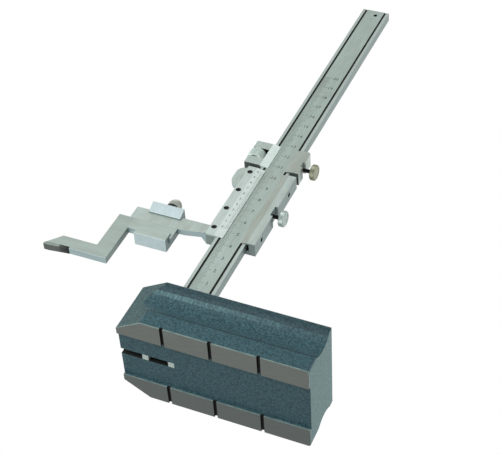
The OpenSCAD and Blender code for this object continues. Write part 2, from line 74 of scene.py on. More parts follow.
# %% [markdown]
# ## Hands
# Modelling by hand is always the same few moves: make one object active, go into edit mode, select some
# points, edges or faces, and use a tool on them. The moves could be written out each time. Here a small
# function does each, and the selection is a test on the place or the direction of each part, so it still
# holds when a size changes.


# %% Selecting, editing and applying modifiers
def make_active(piece):
    bpy.ops.object.select_all(action="DESELECT")
    piece.select_set(True)
    bpy.context.view_layer.objects.active = piece


def edit_all(piece):
    """Goes into edit mode with the whole piece selected."""
    make_active(piece)
    bpy.ops.object.mode_set(mode="EDIT")
    bpy.ops.mesh.select_mode(type="VERT")
    bpy.ops.mesh.select_all(action="SELECT")


def pick(piece, kind, test):
    """Goes into edit mode with only those points, edges or faces selected that pass the test."""
    make_active(piece)
    bpy.ops.object.mode_set(mode="EDIT")
    bpy.ops.mesh.select_mode(type=kind)
    bpy.ops.mesh.select_all(action="DESELECT")
    bpy.ops.object.mode_set(mode="OBJECT")
    mesh = piece.data
    for part in {"VERT": mesh.vertices, "EDGE": mesh.edges, "FACE": mesh.polygons}[kind]:
        part.select = test(part)
    bpy.ops.object.mode_set(mode="EDIT")


def leave():
    bpy.ops.object.mode_set(mode="OBJECT")


def apply_modifier(piece, kind, **settings):
    make_active(piece)
    modifier = piece.modifiers.new(kind, kind)
    for name, value in settings.items():
        setattr(modifier, name, value)
    bpy.ops.object.modifier_apply(modifier=modifier.name)


# %% [markdown]
# ## A finish as a node material
# A finish could be a picture wrapped round the piece, but that needs a map of its surface and goes soft
# close up. Here nodes work out every finish from the piece's own coordinates, so its grain keeps its real
# size in millimetres and moves with the piece. What is the same all over a surface, such as how metallic
# it is, is set on the shader itself.


# %% A material and its nodes
class Finish:
    """A node material: its shader, and the place on the piece that its patterns read."""

    def __init__(self, name, metallic, roughness, gleam=0.5):
        self.material = bpy.data.materials.new(name)
        self.material.use_nodes = True
        self.tree = self.material.node_tree
        self.shader = self.tree.nodes["Principled BSDF"]
        self.feed(self.shader, Metallic=metallic, Roughness=roughness, Specular_IOR_Level=gleam)
        self.place = self.node("TexCoord").outputs["Object"]

    def feed(self, node, **sockets):
        """Sets each named socket to a value, or links it to another node's output."""
        for name, value in sockets.items():
            socket = node.inputs[name.replace("_", " ")]
            if isinstance(value, bpy.types.NodeSocket):
                self.tree.links.new(value, socket)
            else:
                socket.default_value = value

    def node(self, kind, **sockets):
        made = self.tree.nodes.new("ShaderNode" + kind)
        self.feed(made, **sockets)
        return made


# %% [markdown]
# ## Patterns
# Every finish here starts from a grey pattern. A noise that is stretched along one direction is a brushed
# or ground surface, and an even one is cast, painted or turned. Rounded cells are the dimples of hammered
# paint. The place along the piece is a pattern too, for a tone that fades from one end to the other.

# %% Noise, dimples and places along X
NOISE = {"Scale": 1.0, "Detail": 3.0, "Roughness": 0.6}
DIMPLE_ROUNDING = 0.6


def span(finish, value, low, high, first=0.0, last=1.0):
    """A value stretched so that low becomes first and high becomes last, and held beyond them."""
    stretch = finish.node("MapRange", Value=value, From_Min=low, From_Max=high, To_Min=first, To_Max=last)
    return stretch.outputs["Result"]


def grain(finish, cell):
    """A noise whose cells measure that much along X, Y and Z, in millimetres."""
    stretch = finish.node("Mapping", Vector=finish.place, Scale=[1 / (side * MM) for side in cell])
    return finish.node("TexNoise", Vector=stretch.outputs["Vector"], **NOISE).outputs["Fac"]


def dimples(finish, size):
    """Rounded cells of that size in millimetres, as hammered paint dries."""
    cells = finish.node("TexVoronoi", Vector=finish.place, Scale=1 / (size * MM))
    cells.feature = "SMOOTH_F1"
    finish.feed(cells, Smoothness=DIMPLE_ROUNDING)
    return cells.outputs["Distance"]


def along(finish, start, end):
    """A value that rises from 0 to 1 between two places along X."""
    place = finish.node("SeparateXYZ", Vector=finish.place)
    return span(finish, place.outputs["X"], start, end)


# %% [markdown]
# ## From pattern to surface
# A pattern then works on the surface in three ways: it tints the colour between two tones, it varies the
# gloss, and it raises the skin. Tones are written as a paint maker would, as red, green and blue from 0
# to 255, and turned into the linear values that light is worked out in.


# %% Tones, mixtures, gloss and skin
def tone(colour):
    """The linear colour of a tone written as 0 to 255."""
    shares = [value / 255 for value in colour]
    return [v / 12.92 if v <= 0.04045 else ((v + 0.055) / 1.055) ** 2.4 for v in shares] + [1]


def mixed(finish, first, second, share):
    """A value between two others, with that share of the second."""
    return finish.node("Mix", Factor=share, A=first, B=second).outputs["Result"]


def ramp(finish, value, first, last, low=0.3, high=0.7):
    """Colours that follow a value, from the first tone at low to the last at high."""
    made = finish.node("ValToRGB", Fac=value)
    for element, position, colour in zip(made.color_ramp.elements, (low, high), (first, last)):
        element.position = position
        element.color = tone(colour)
    return made.outputs["Color"]


def blended(finish, colour, other, share):
    """A colour that goes over into another as a value rises from 0 to 1."""
    return finish.node("MixRGB", Fac=share, Color1=colour, Color2=other).outputs["Color"]


def gloss(finish, value, smooth, rough):
    """A roughness that follows a value."""
    finish.feed(finish.shader, Roughness=span(finish, value, 0, 1, smooth, rough))


def skin(finish, value, height, strength):
    """A surface that a value raises, by that many millimetres."""
    bump = finish.node("Bump", Height=value, Distance=height * MM, Strength=strength)
    finish.feed(finish.shader, Normal=bump.outputs["Normal"])


# %% [markdown]
# ## The paint of the foot
# The foot has blue-grey hammered paint: flecks of two tones over small rounded dimples. One even paint
# would do from far away. Here some shades of it are painted light and shade: painted shade above the
# finger groove and in the crease below it, a painted sheen on the groove's upper wall, and painted light
# on the square end. The slanted corners are greyer. So one function mixes a paint from two tones, and
# where it carries the painted sheen, the sheen fades into the plain paint along the foot.

# %% Hammered paint
PAINT_SPAN = {"low": 0.32, "high": 0.6}
PLAIN_TONES = ((66, 98, 104), (34, 60, 67))
DIMPLE = 1.3
FLECK = (0.7, 0.7, 0.7)
SHEEN_FLECK = (0.7, 3, 3)
FLECK_SHARE = 0.75
SHEEN_FULL_UNTIL = -8 * MM
SHEEN_GONE_FROM = 40 * MM


def hammered_paint(name, light, dark, gleam=0.2, painted_sheen=False):
    finish = Finish(name, metallic=0.0, roughness=0.54, gleam=gleam)
    flecks = grain(finish, SHEEN_FLECK if painted_sheen else FLECK)
    pattern = mixed(finish, dimples(finish, DIMPLE), flecks, FLECK_SHARE)
    colour = ramp(finish, pattern, light, dark, **PAINT_SPAN)
    # The painted sheen: streaky flecks, and a fade into the plain paint between two places along X.
    if painted_sheen:
        plain = ramp(finish, pattern, *PLAIN_TONES, **PAINT_SPAN)
        colour = blended(finish, colour, plain, along(finish, SHEEN_FULL_UNTIL, SHEEN_GONE_FROM))
    finish.feed(finish.shader, Base_Color=colour)
    skin(finish, flecks, height=0.3, strength=0.5)
    return finish.material


PAINT = hammered_paint("hammered_paint", *PLAIN_TONES)
# Painted shade in the crease at the groove's foot.
CREASE_SHADE_PAINT = hammered_paint("hammered_paint_crease_shade", (48, 73, 79), (24, 44, 50))
# Painted shade on the strip of the flank above the groove.
TOP_SHADE_PAINT = hammered_paint("hammered_paint_top_shade", (54, 82, 88), (27, 49, 55))
# A painted sheen on the groove's upper wall, fading out towards the square end.
GROOVE_SHEEN_PAINT = hammered_paint("hammered_paint_groove_sheen", (88, 121, 125), (50, 79, 84), painted_sheen=True)
FACET_PAINT = hammered_paint("hammered_paint_facet", (75, 101, 101), (41, 62, 64))
# Painted light: the square end is painted lighter for the light that falls on it.
END_LIGHT_PAINT = hammered_paint("hammered_paint_end_light", (102, 128, 126), (73, 100, 101), gleam=0.3)
print("paints of the foot from", PAINT.name, "to", END_LIGHT_PAINT.name)

# %% [markdown]
# ## Bare ground iron
# The foot is ground underneath after painting, so the two rails on which it stands are bare grey iron
# with fine scratches along the foot. A plain grey would look like plastic. The scratches that tint the
# iron also vary its gloss, and the rear rail is painted a little darker than the front one as painted
# shade.

# %% Ground iron
RAIL_STROKE = (9, 0.25, 9)


def ground_iron(name, dark, light):
    finish = Finish(name, metallic=0.35, roughness=0.5)
    scratches = grain(finish, RAIL_STROKE)
    finish.feed(finish.shader, Base_Color=ramp(finish, scratches, dark, light))
    gloss(finish, scratches, smooth=0.4, rough=0.6)
    skin(finish, scratches, height=0.03, strength=0.3)
    return finish.material


IRON = ground_iron("ground_iron", (86, 91, 87), (104, 109, 104))
# Painted shade: the rear rail is a darker copy of the same iron.
REAR_SHADE_IRON = ground_iron("ground_iron_rear_shade", (72, 79, 77), (89, 96, 93))
print("bare iron:", IRON.name, REAR_SHADE_IRON.name)

# %% [markdown]
# ## Brushed metal
# A grinding wheel leaves fine streaks along a face and wide soft clouds in its tone, and years of hands
# leave pale stains. A pure metal would mirror the room, but a satin ground face scatters most of the
# light that it gets, so only a part of its reflection is metallic. One function makes all such metals, and
# can also let one darken between two places along the piece.

# %% Streaks, clouds and stains
CLOUD = 6.0
CLOUD_SHARE = 0.6
STAIN = (142, 146, 133)
STAIN_SIZE = 2.5
STAIN_SPAN = (0.5, 0.72)
DARKENED_TONE = (16, 20, 18)


def brushed(name, cell, dark, light, metallic=0.35, smooth=0.36, rough=0.5, handled=0.0, darkened=None):
    """Satin metal, brushed along the longest side of its grain's cell.

    Where hands touch it, stains cover it up to that share. Given two places along X, it darkens between
    them."""
    finish = Finish(name, metallic, rough, gleam=0.2)
    streaks = grain(finish, cell)
    clouds = grain(finish, [CLOUD * math.sqrt(side) for side in cell])
    colour = ramp(finish, mixed(finish, streaks, clouds, CLOUD_SHARE), dark, light)
    if handled:
        spots = grain(finish, [STAIN_SIZE * (1 + math.sqrt(side)) for side in cell])
        colour = blended(finish, colour, tone(STAIN), span(finish, spots, *STAIN_SPAN, last=handled))
    if darkened:
        colour = blended(finish, colour, tone(DARKENED_TONE), along(finish, *darkened))
    finish.feed(finish.shader, Base_Color=colour)
    gloss(finish, streaks, smooth, rough)
    skin(finish, streaks, height=0.02, strength=0.2)
    return finish.material


# %% [markdown]
# ## Ground steel
# Column, slider and scriber are ground steel, and each is ground along its length, so the streaks stand
# upright on column and slider and lie along the scriber and under the arm. One steel for all would leave
# no face apart from the next. Handled faces carry stains. Other faces get lit and shaded copies of the
# steel: sides and undersides are painted darker as painted shade, and the clamp's underside and the
# hook's front are painted lighter as painted light.

# %% Steel faces
UPRIGHT = (0.5, 0.5, 14)
LENGTHWISE = (14, 0.5, 0.5)
CUTTER = (0.6, 0.6, 6)
STONE = (0.6, 0.6, 5)
STEEL_UP = brushed("ground_steel_upright", UPRIGHT, (163, 174, 166), (179, 193, 189), handled=0.45)
STEEL_ALONG = brushed("ground_steel_lengthwise", LENGTHWISE, (162, 174, 167), (173, 187, 182), handled=0.4)
BAND = brushed("scale_band", UPRIGHT, (152, 166, 158), (172, 187, 181), handled=0.3)
STRIP = brushed("bright_strip", UPRIGHT, (164, 175, 169), (180, 193, 187))
# Painted shade, lighter: for the ceiling of the notch above the lower knob.
HALF_SHADE = brushed("half_shade_side", CUTTER, (134, 148, 145), (152, 166, 163))
# Painted shade: a darker copy of the steel for sides and undersides that get less light.
SIDE_SHADE = brushed("side_shade", CUTTER, (112, 126, 123), (134, 148, 145))
HARDENED = brushed("hardened_steel", LENGTHWISE, (148, 160, 153), (163, 176, 170))
# Painted shade with a cooler tint, for the undersides of arm and scriber.
UNDERSIDE_SHADE = brushed("underside", LENGTHWISE, (152, 170, 171), (167, 185, 186))
# Painted light: lighter copies for the clamp's underside and the hook's front.
CLAMP_UNDER_LIGHT = brushed("clamp_underside_light", STONE, (177, 194, 195), (194, 210, 212))
HOOK_LIGHT = brushed("hook_face_light", STONE, (166, 181, 182), (181, 196, 199))
LIP = brushed("handled_lip", UPRIGHT, (146, 153, 143), (165, 174, 166), handled=0.5)
FLAT = brushed("plate_flat", UPRIGHT, (177, 189, 183), (191, 204, 199), handled=0.2)
print("steel faces from", STEEL_UP.name, "to", FLAT.name)

# %% [markdown]
# ## Plated and turned parts
# The vernier's bevel and the carriage's cover are plated and paler than the steel. The nut, the knobs and
# the domed screw are turned, so their grain is even, and they are more metallic: each tooth of a knurl
# then has its own glint. The upper knob has the warmer tone of old nickel, and the small screws are
# blackened.

# %% Plates, knurls and screws
EVEN = (0.6, 0.6, 0.6)
TURNED = (0.8, 0.8, 0.8)
COVER = brushed("cover_strip", EVEN, (204, 217, 212), (220, 232, 228), smooth=0.42)
PLATE = brushed("plated_plate", EVEN, (192, 204, 199), (208, 220, 216), smooth=0.42)
KNURLED = brushed("knurled_plate", TURNED, (180, 195, 188), (203, 217, 211), metallic=0.5)
DULL = brushed("dull_knurl", TURNED, (134, 146, 141), (170, 182, 177), metallic=0.5)
# Painted light: the lower knob's outer end is lighter than its knurl.
DISH_LIGHT = brushed("dull_dish_light", TURNED, (142, 155, 150), (180, 193, 188), metallic=0.5)
NICKEL = brushed("warm_nickel_knurl", TURNED, (104, 106, 90), (142, 144, 124), metallic=0.5)
# Painted light on the upper knob's outer end.
NICKEL_DISH_LIGHT = brushed("warm_nickel_dish_light", TURNED, (122, 125, 107), (162, 165, 145), metallic=0.5)
DOME = brushed("domed_screw", TURNED, (128, 134, 125), (168, 174, 165), metallic=0.5)
THREAD = brushed("oiled_thread", (0.7, 0.7, 0.7), (110, 118, 114), (150, 158, 154), metallic=0.7)
BLACK = brushed("black_oxide", (0.9, 0.9, 0.9), (14, 14, 16), (30, 30, 33), metallic=0.0)
BRONZE = brushed("oiled_bronze", (0.5, 0.5, 9), (120, 94, 50), (150, 118, 66), metallic=0.6)
print("plated and turned parts from", COVER.name, "to", BRONZE.name)

# %% [markdown]
# ## Dark places and the hard tip
# Saw cuts, bores, narrow gaps and the faces that look into them are painted dark as painted shade, since
# light hardly reaches them, and engraved lines are filled with black. Pure black would look like a hole
# in the picture, so each is a very dark metal or paint with a grain. The scriber's tip is a small plate
# of hard metal, lapped bright in front. It is brazed on, and its far end is darker.

# %% Gaps, fillings, worn paint and hard metal
SAW_STROKE = (6, 6, 0.4)
LAP_STROKE = (3, 0.3, 0.3)
MATT = {"metallic": 0.0, "smooth": 0.6, "rough": 0.8}
TIP_SHARE = 0.62
tip_low, tip_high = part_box("carbide_tip")
tip_back = tip_low.x + TIP_SHARE * (tip_high.x - tip_low.x)
# Painted shade, less deep, for the gap under the carriage left of the column.
GAP = brushed("shaded_gap", SAW_STROKE, (56, 64, 62), (78, 86, 84), metallic=0.0)
# Painted shade: the dark finish for saw cuts, bores, gaps and shaded hollows.
DARK_SHADE = brushed("painted_dark_shade", SAW_STROKE, (8, 9, 9), (20, 22, 22), **MATT)
WORN = brushed("worn_paint_edge", (0.45, 3, 3), (70, 96, 97), (128, 144, 138), metallic=0.1)
CARBIDE = brushed("hard_metal", LAP_STROKE, (76, 81, 78), (98, 103, 99), metallic=0.4)
LAPPED = brushed("lapped_hard_metal", LAP_STROKE, (122, 134, 127), (146, 158, 151), metallic=0.4)
# Darker towards the tip plate's far end.
BRAZE = brushed("braze", (2, 0.4, 0.4), (66, 71, 68), (84, 89, 85), metallic=0.3,
                darkened=(tip_back, tip_high.x))
INK = brushed("engraving_ink", EVEN, (34, 39, 38), (58, 65, 63), metallic=0.0)
LINE = brushed("black_line_filling", (0.6, 0.6, 9), (17, 21, 19), (30, 35, 31), **MATT)
print("tip plate brazed from", round(tip_back / MM, 1), "to", round(tip_high.x / MM, 1), "mm")

# %% [markdown]
# ## Broken edges
# No ground part has a knife edge: a maker breaks each with a stone, and the thin bright line that this
# leaves is what makes steel look real. The CAD meshes are loose triangles, so a copy of each is merged,
# its flat faces are put together again, and a bevel breaks every sharp edge. Some faces are first cut
# straight across: one shaped like a comb or a C would fold over in the bevel, and one with two finishes
# needs an edge between them. Weighted normals keep the large faces flat in the light and let only the
# narrow bevels curve.

# %% A copy of a CAD node with broken edges
WELD = 0.001 * MM
SAME_FACE = math.radians(0.5)
SHARP = math.radians(30)


def use_only(piece, finish):
    piece.data.materials.clear()
    piece.data.materials.append(finish)


def stand_for(piece, node):
    """Lets a piece stand for a CAD node: it hides the node and rides on its body."""
    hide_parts(node)
    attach(piece, BODY_OF[node])
    print(piece.name, len(piece.data.polygons), "faces, for", node)


def copy_of(node):
    """A loose copy of a CAD node, with a mesh of its own."""
    cad = frame["nodes"][node]
    piece = cad.copy()
    piece.data = cad.data.copy()
    piece.name = node + "_finished"
    scene.collection.objects.link(piece)
    for key in list(piece.keys()):
        del piece[key]
    piece.parent = None
    piece.matrix_world = Matrix.Identity(4)
    return piece


def finished_copy(node, finish, edge, cuts=(), ground=None):
    """A copy of a CAD node with its edges broken by that many millimetres, which stands for the node.

    What lies outside a ground plane, given as a point and a direction, is taken off first. The faces are
    then cut: each cut is a direction and a place measured along it."""
    piece = copy_of(node)
    use_only(piece, finish)
    edit_all(piece)
    bpy.ops.mesh.remove_doubles(threshold=WELD)
    bpy.ops.mesh.dissolve_limited(angle_limit=SAME_FACE)
    if ground:
        point, outward = ground
        bpy.ops.mesh.select_all(action="SELECT")
        bpy.ops.mesh.bisect(plane_co=point, plane_no=outward.normalized(), use_fill=True,
                            clear_outer=True, threshold=WELD)
    for across, place in cuts:
        bpy.ops.mesh.select_all(action="SELECT")
        bpy.ops.mesh.bisect(plane_co=place * across, plane_no=across)
    leave()
    apply_modifier(piece, "BEVEL", width=edge * MM, segments=2, limit_method="ANGLE", loop_slide=False,
                   angle_limit=SHARP, use_clamp_overlap=False, miter_outer="MITER_ARC")
    bpy.ops.object.shade_smooth()
    apply_modifier(piece, "WEIGHTED_NORMAL", weight=80, keep_sharp=True)
    stand_for(piece, node)
    return piece


# %% [markdown]
# ## Several finishes on one piece
# A piece is rarely the same all over: wheel, saw and hand each leave their own surface, and here some
# slots carry painted light and shade. It could be cut apart, but then its parts would have to be kept
# together. Here it keeps its one mesh and gets further material slots, and a test on the place and
# direction of each face says which slot it takes. Where two tests hold, the later one wins.

# %% Directions, and further finishes for chosen faces
RIGHT = Vector((1, 0, 0))
LEFT = -RIGHT
FRONT = Vector((0, -1, 0))
UP = Vector((0, 0, 1))
DOWN = -UP
SLIGHTLY = 0.1
SLANTED = 0.4
SQUARELY = 0.9
TOUCH = 0.1 * MM


def looks(face, direction, least=0.5):
    """Whether a face looks along a direction, by more than that share of its normal."""
    return face.normal.dot(direction) > least


def looks_right(face):
    return looks(face, RIGHT)


def stands(face):
    """Whether a face stands upright more than it lies."""
    return not looks(face, UP) and not looks(face, DOWN)


def dress(piece, *finishes):
    """Gives a further finish to the faces that pass its test, for each pair of a finish and a test."""
    for finish, test in finishes:
        piece.data.materials.append(finish)
        slot = len(piece.data.materials) - 1
        chosen = [face for face in piece.data.polygons if test(face)]
        for face in chosen:
            face.material_index = slot
        print(piece.name, "gets", finish.name, "on", len(chosen), "faces")


# %% [markdown]
# ## The foot
# The foot is an iron casting with a finger groove along each side, two rails underneath, slots across the
# rails and a slit at the arm's end, where a black screw pinches the column. Its faces are cut where the
# slots begin and end, where the rails stop being bare, and at the lower edge of the groove's painted sheen.

# %% The casting and the screw of its slit
base_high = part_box("base_casting")[1]
column_low, column_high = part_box("column")
RELIEF_WIDTH = 1.6 * MM
RAIL_WEAR = 0.7 * MM
GRIP_LOW = 23.3 * MM
relief_places = [base_high.x / 2 * k for k in (-1, 0, 1)]
foot_cuts = [(RIGHT, x + side * RELIEF_WIDTH / 2) for x in relief_places for side in (-1, 1)]
foot_cuts += [(UP, RAIL_WEAR), (UP, GRIP_LOW)]
foot = finished_copy("base_casting", PAINT, edge=0.14, cuts=foot_cuts)
finished_copy("column_clamp_screw", BLACK, edge=0.3)

# %% [markdown]
# ## Paint, rails and saw cuts
# The groove's shades follow its height: painted shade above it, a painted sheen on the wall under its
# upper edge, painted shade in the crease at its foot. The slanted corners are greyer and the square end is
# painted lighter as painted light. The rails are bare, the rear one darker as painted shade, and the paint
# along their edges is worn light. Slit and slots are sawn after painting, and their walls are painted dark
# as the shade inside them. They come last, because they cross all the others.

# %% Finishes of the foot
SIDEWAYS = 0.6
GRIP_TOP = 25.5 * MM
GRIP_FLOOR = 20.0 * MM
CREASE_TOP = 11.6 * MM
RELIEF_DEPTH = 1.2 * MM


def on_flank(face):
    return abs(face.normal.y) > SIDEWAYS


# Painted shade on the flank above the groove.
def above_groove(face):
    return on_flank(face) and face.center.z > GRIP_TOP and abs(face.center.y) > GRIP_FLOOR


# The painted sheen: faces of the groove's upper wall that look down.
def on_grip(face):
    level = GRIP_LOW < face.center.z < GRIP_TOP and abs(face.center.y) > GRIP_FLOOR
    return on_flank(face) and looks(face, DOWN, SLIGHTLY) and level


# Painted shade: faces in the groove's crease that look up.
def in_crease(face):
    return on_flank(face) and looks(face, UP) and face.center.z < CREASE_TOP


def on_facet(face):
    return on_flank(face) and looks(face, LEFT, SLANTED)


# Painted light on the square end.
def at_end(face):
    return looks(face, RIGHT, SQUARELY) and face.center.x > base_high.x - TOUCH


def on_rail(face):
    return looks(face, DOWN) and face.center.z < RAIL_WEAR


# Painted shade on the rear rail.
def on_rear_rail(face):
    return on_rail(face) and face.center.y > 0


def rail_edge(face):
    return stands(face) and face.center.z < RAIL_WEAR


# Painted shade inside the slit and the slots.
def in_saw_cut(face):
    level = column_low.y - TOUCH < face.center.y < column_high.y + TOUCH
    in_slit = stands(face) and level and face.center.x < column_high.x + TOUCH
    across = min(abs(face.center.x - x) for x in relief_places) < RELIEF_WIDTH / 2 + TOUCH
    return in_slit or (across and face.center.z < RELIEF_DEPTH + TOUCH)


dress(foot, (TOP_SHADE_PAINT, above_groove), (GROOVE_SHEEN_PAINT, on_grip), (CREASE_SHADE_PAINT, in_crease),
      (FACET_PAINT, on_facet), (END_LIGHT_PAINT, at_end), (IRON, on_rail), (REAR_SHADE_IRON, on_rear_rail),
      (WORN, rail_edge), (DARK_SHADE, in_saw_cut))

# %% [markdown]
# ## The column
# The column is a flat ground bar. Two milled grooves filled with black border a duller band that carries
# the scale, with a bright strip on either side, and a small hole at the top goes right through. A line
# could be drawn by a pattern in the material. The grooves are real in the CAD, so their own faces take
# the filling, and so do their broken edges, which would shine otherwise.

# %% The bar with its lines and its hole
LINE_IN = 2.45 * MM
LINE_WIDTH = 1.0 * MM
LINE_DEPTH = 0.4 * MM
LINE_RIM = 0.2 * MM
LINE_ROOM = 0.04 * MM
HOLE_RADIUS = 1.1 * MM
HOLE_RIM = 0.25 * MM
HOLE_ASIDE = 1.2 * MM
HOLE_BELOW_TOP = 5.2 * MM
HAIR = 0.005 * MM
column_front = column_low.y
column_middle = (column_low.x + column_high.x) / 2
left_line = column_low.x + LINE_IN
right_line = column_high.x - LINE_IN
hole_x = column_middle + HOLE_ASIDE
hole_z = column_high.z - HOLE_BELOW_TOP


def on_front(face):
    return looks(face, FRONT, SQUARELY) and abs(face.center.y - column_front) < TOUCH


def in_band(face):
    return on_front(face) and left_line < face.center.x < right_line


def in_strip(face):
    return on_front(face) and not in_band(face)


def in_line(face):
    aside = min(abs(face.center.x - left_line), abs(face.center.x - right_line))
    depth = face.center.y - column_front
    return aside < LINE_WIDTH / 2 + LINE_RIM and HAIR < depth < LINE_DEPTH + LINE_ROOM


# Painted shade on the column's right side.
def right_edge(face):
    return looks_right(face) and face.center.x > right_line + LINE_WIDTH


# Painted shade: the walls of the hole are painted dark.
def in_hole(face):
    inside = column_front + HAIR < face.center.y < column_high.y - HAIR
    return inside and math.hypot(face.center.x - hole_x, face.center.z - hole_z) < HOLE_RADIUS + HOLE_RIM


column = finished_copy("column", STEEL_UP, edge=0.15, cuts=[(UP, base_high.z)])
dress(column, (BAND, in_band), (STRIP, in_strip), (LINE, in_line), (SIDE_SHADE, right_edge), (DARK_SHADE, in_hole))

# %% [markdown]
# ## The slider
# The slider closes round the column and is one piece with the measuring arm. A bronze gib, pressed by two
# sunk screws, takes up the play on the right, and the gap beside the column, the gib's ends and the
# screws' bores are painted dark as painted shade. The front is ground upright, and the slanted lip that
# reaches over the column from the right is stained by hands. Sides and undersides are painted duller as
# painted shade, as light reaches them less.

# %% The slider, its gib and the gib's screws
GIB_ROOM = 1.6 * MM
BORE_ROOM = 0.3 * MM
gib_low, gib_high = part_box("gib_strip")
sunk_low, sunk_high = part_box("gib_screws")
notch_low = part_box("slider_lock_knob")[0].z
sunk_radius = (sunk_high.y - sunk_low.y) / 2
sunk_middle = (sunk_low.y + sunk_high.y) / 2


# Painted shade in the gap beside the column.
def in_gib_pocket(face):
    beside = column_high.x - TOUCH < face.center.x < column_high.x + GIB_ROOM + TOUCH
    return stands(face) and beside and gib_low.y - TOUCH < face.center.y < gib_high.y + TOUCH


# Painted shade on the slider's right side.
def right_side(face):
    return looks(face, RIGHT, SQUARELY) and face.center.x > column_high.x + GIB_ROOM


def slider_bottom(face):
    return looks(face, DOWN) and face.center.x > column_low.x


# Painted shade, lighter, on the notch's ceiling.
def notch_ceiling(face):
    return looks(face, DOWN) and face.center.z > notch_low


# Painted shade under the arm.
def arm_bottom(face):
    return looks(face, DOWN) and face.center.x < column_low.x


# Painted shade in the bores of the gib's screws.
def in_bore(face):
    heights = (sunk_low.z + sunk_radius, sunk_high.z - sunk_radius)
    off = min(math.hypot(face.center.y - sunk_middle, face.center.z - z) for z in heights)
    beyond_gib = face.center.x > column_high.x + GIB_ROOM
    is_wall = not looks(face, RIGHT) and not looks(face, LEFT)
    return off < sunk_radius + BORE_ROOM and beyond_gib and is_wall


def on_lip(face):
    slanted = looks(face, LEFT, SLIGHTLY) and not looks(face, LEFT, SLANTED)
    return slanted and looks(face, FRONT, SQUARELY)


# Painted shade on the gib's ends.
def gib_end(face):
    return not stands(face)


slider = finished_copy("slider_body", STEEL_UP, edge=0.1)
dress(slider, (DARK_SHADE, in_gib_pocket), (SIDE_SHADE, right_side), (SIDE_SHADE, slider_bottom), (HALF_SHADE, notch_ceiling),
      (UNDERSIDE_SHADE, arm_bottom), (DARK_SHADE, in_bore), (LIP, on_lip))
dress(finished_copy("gib_strip", BRONZE, edge=0.1), (DARK_SHADE, gib_end))
finished_copy("gib_screws", BLACK, edge=0.08)

# %% [markdown]
# ## The vernier plate
# The vernier is on a plate that four small black screws hold on the slider. Its flat is steel, and the
# bevel that brings the marks down to the column is plated bright, so that they can be read. The thin edge
# beside the column lies in shade, so it takes the dark finish.


# %% The plate and its screws
def on_bevel(face):
    return looks(face, RIGHT, SLIGHTLY)


def thin_edge(face):
    return looks(face, RIGHT, SQUARELY)


dress(finished_copy("vernier_plate", FLAT, edge=0.08), (PLATE, on_bevel), (DARK_SHADE, thin_edge))
finished_copy("vernier_screws", BLACK, edge=0.08)

# %% [markdown]
# ## The carriage
# The carriage clamps on the column above the slider, and its window holds the nut of the fine adjustment.
# The face round the window has the shape of a C, so it is cut above and below it. Light hardly reaches
# the faces that look down into the window and the gap to the slider, so they are painted dark as painted
# shade.

# %% The carriage and its cover
WINDOW_ROOM = 0.3 * MM
nut_low, nut_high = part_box("fine_nut")
carriage_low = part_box("carriage_body")[0]
window_top = nut_high.z + WINDOW_ROOM
window_cuts = [(UP, nut_low.z - WINDOW_ROOM), (UP, window_top)]


def right_front(face):
    return looks(face, FRONT, SQUARELY) and face.center.x > column_middle


def at_bottom(face):
    return looks(face, DOWN) and face.center.z < carriage_low.z + TOUCH


# Painted shade on faces that look down into the window and the gap to the slider.
def in_gap(face):
    return at_bottom(face) or (looks(face, DOWN) and abs(face.center.z - window_top) < TOUCH)


def in_left_gap(face):
    return at_bottom(face) and face.center.x < column_low.x


carriage = finished_copy("carriage_body", STEEL_UP, edge=0.1, cuts=window_cuts)
dress(carriage, (LIP, right_front), (DARK_SHADE, in_gap), (GAP, in_left_gap))
finished_copy("carriage_cover", COVER, edge=0.08)

# %% [markdown]
# ## The clamp
# The clamp hooks round the arm and the scriber's shank, and a domed screw on top holds both. When the
# screw is loose, the shank slides on the clamp's floor. In the CAD the two touch, so here the floor is
# let down by two hundredths of a millimetre, and they pass each other freely. The clamp's underside and
# the hook's front are painted lighter as painted light, its right side and the hook's bottom darker as
# painted shade. The screw is cut under its dome and painted black below the cut, as painted shade under
# the head.

# %% The clamp, room under the shank, and the domed screw
SLIDE_ROOM = 0.02 * MM
CLAMP_FLOOR = 4.0 * MM
DOME_HEIGHT = 6.9 * MM
floor_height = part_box("scriber_clamp")[0].z + CLAMP_FLOOR
arm_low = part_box("slider_body")[0].z
dome_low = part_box("clamp_screw")[1].z - DOME_HEIGHT


def on_floor(face):
    return looks(face, UP, SQUARELY) and abs(face.center.z - floor_height) < SLIDE_ROOM


# Painted light on the clamp's underside.
def clamp_bottom(face):
    return looks(face, DOWN) and face.center.z < arm_low


# Painted shade under the hook.
def hook_bottom(face):
    return looks(face, DOWN) and face.center.z >= arm_low


# Painted light on the hook's front.
def hook_front(face):
    return looks(face, FRONT) and face.center.z > arm_low


def below_dome(face):
    return face.center.z < dome_low


clamp = finished_copy("scriber_clamp", STEEL_ALONG, edge=0.2)
pick(clamp, "FACE", on_floor)
bpy.ops.transform.translate(value=(0, 0, -SLIDE_ROOM))
leave()
print("clamp floor let down to", round((floor_height - SLIDE_ROOM) / MM, 2), "mm")
dress(clamp, (CLAMP_UNDER_LIGHT, clamp_bottom), (SIDE_SHADE, hook_bottom), (HOOK_LIGHT, hook_front), (SIDE_SHADE, looks_right))
screw = finished_copy("clamp_screw", DOME, edge=0.1, cuts=[(UP, dome_low)])
dress(screw, (BLACK, below_dome))

# %% [markdown]
# ## The scriber and its tip
# The scriber is hardened steel with a brighter shank, and is cut where the shank begins. The plate of hard
# metal at its end is ground to a slanted relief behind a short land, so that only its point touches the
# work. A boolean could do that, but one bisect takes the wedge off and fills the cut.

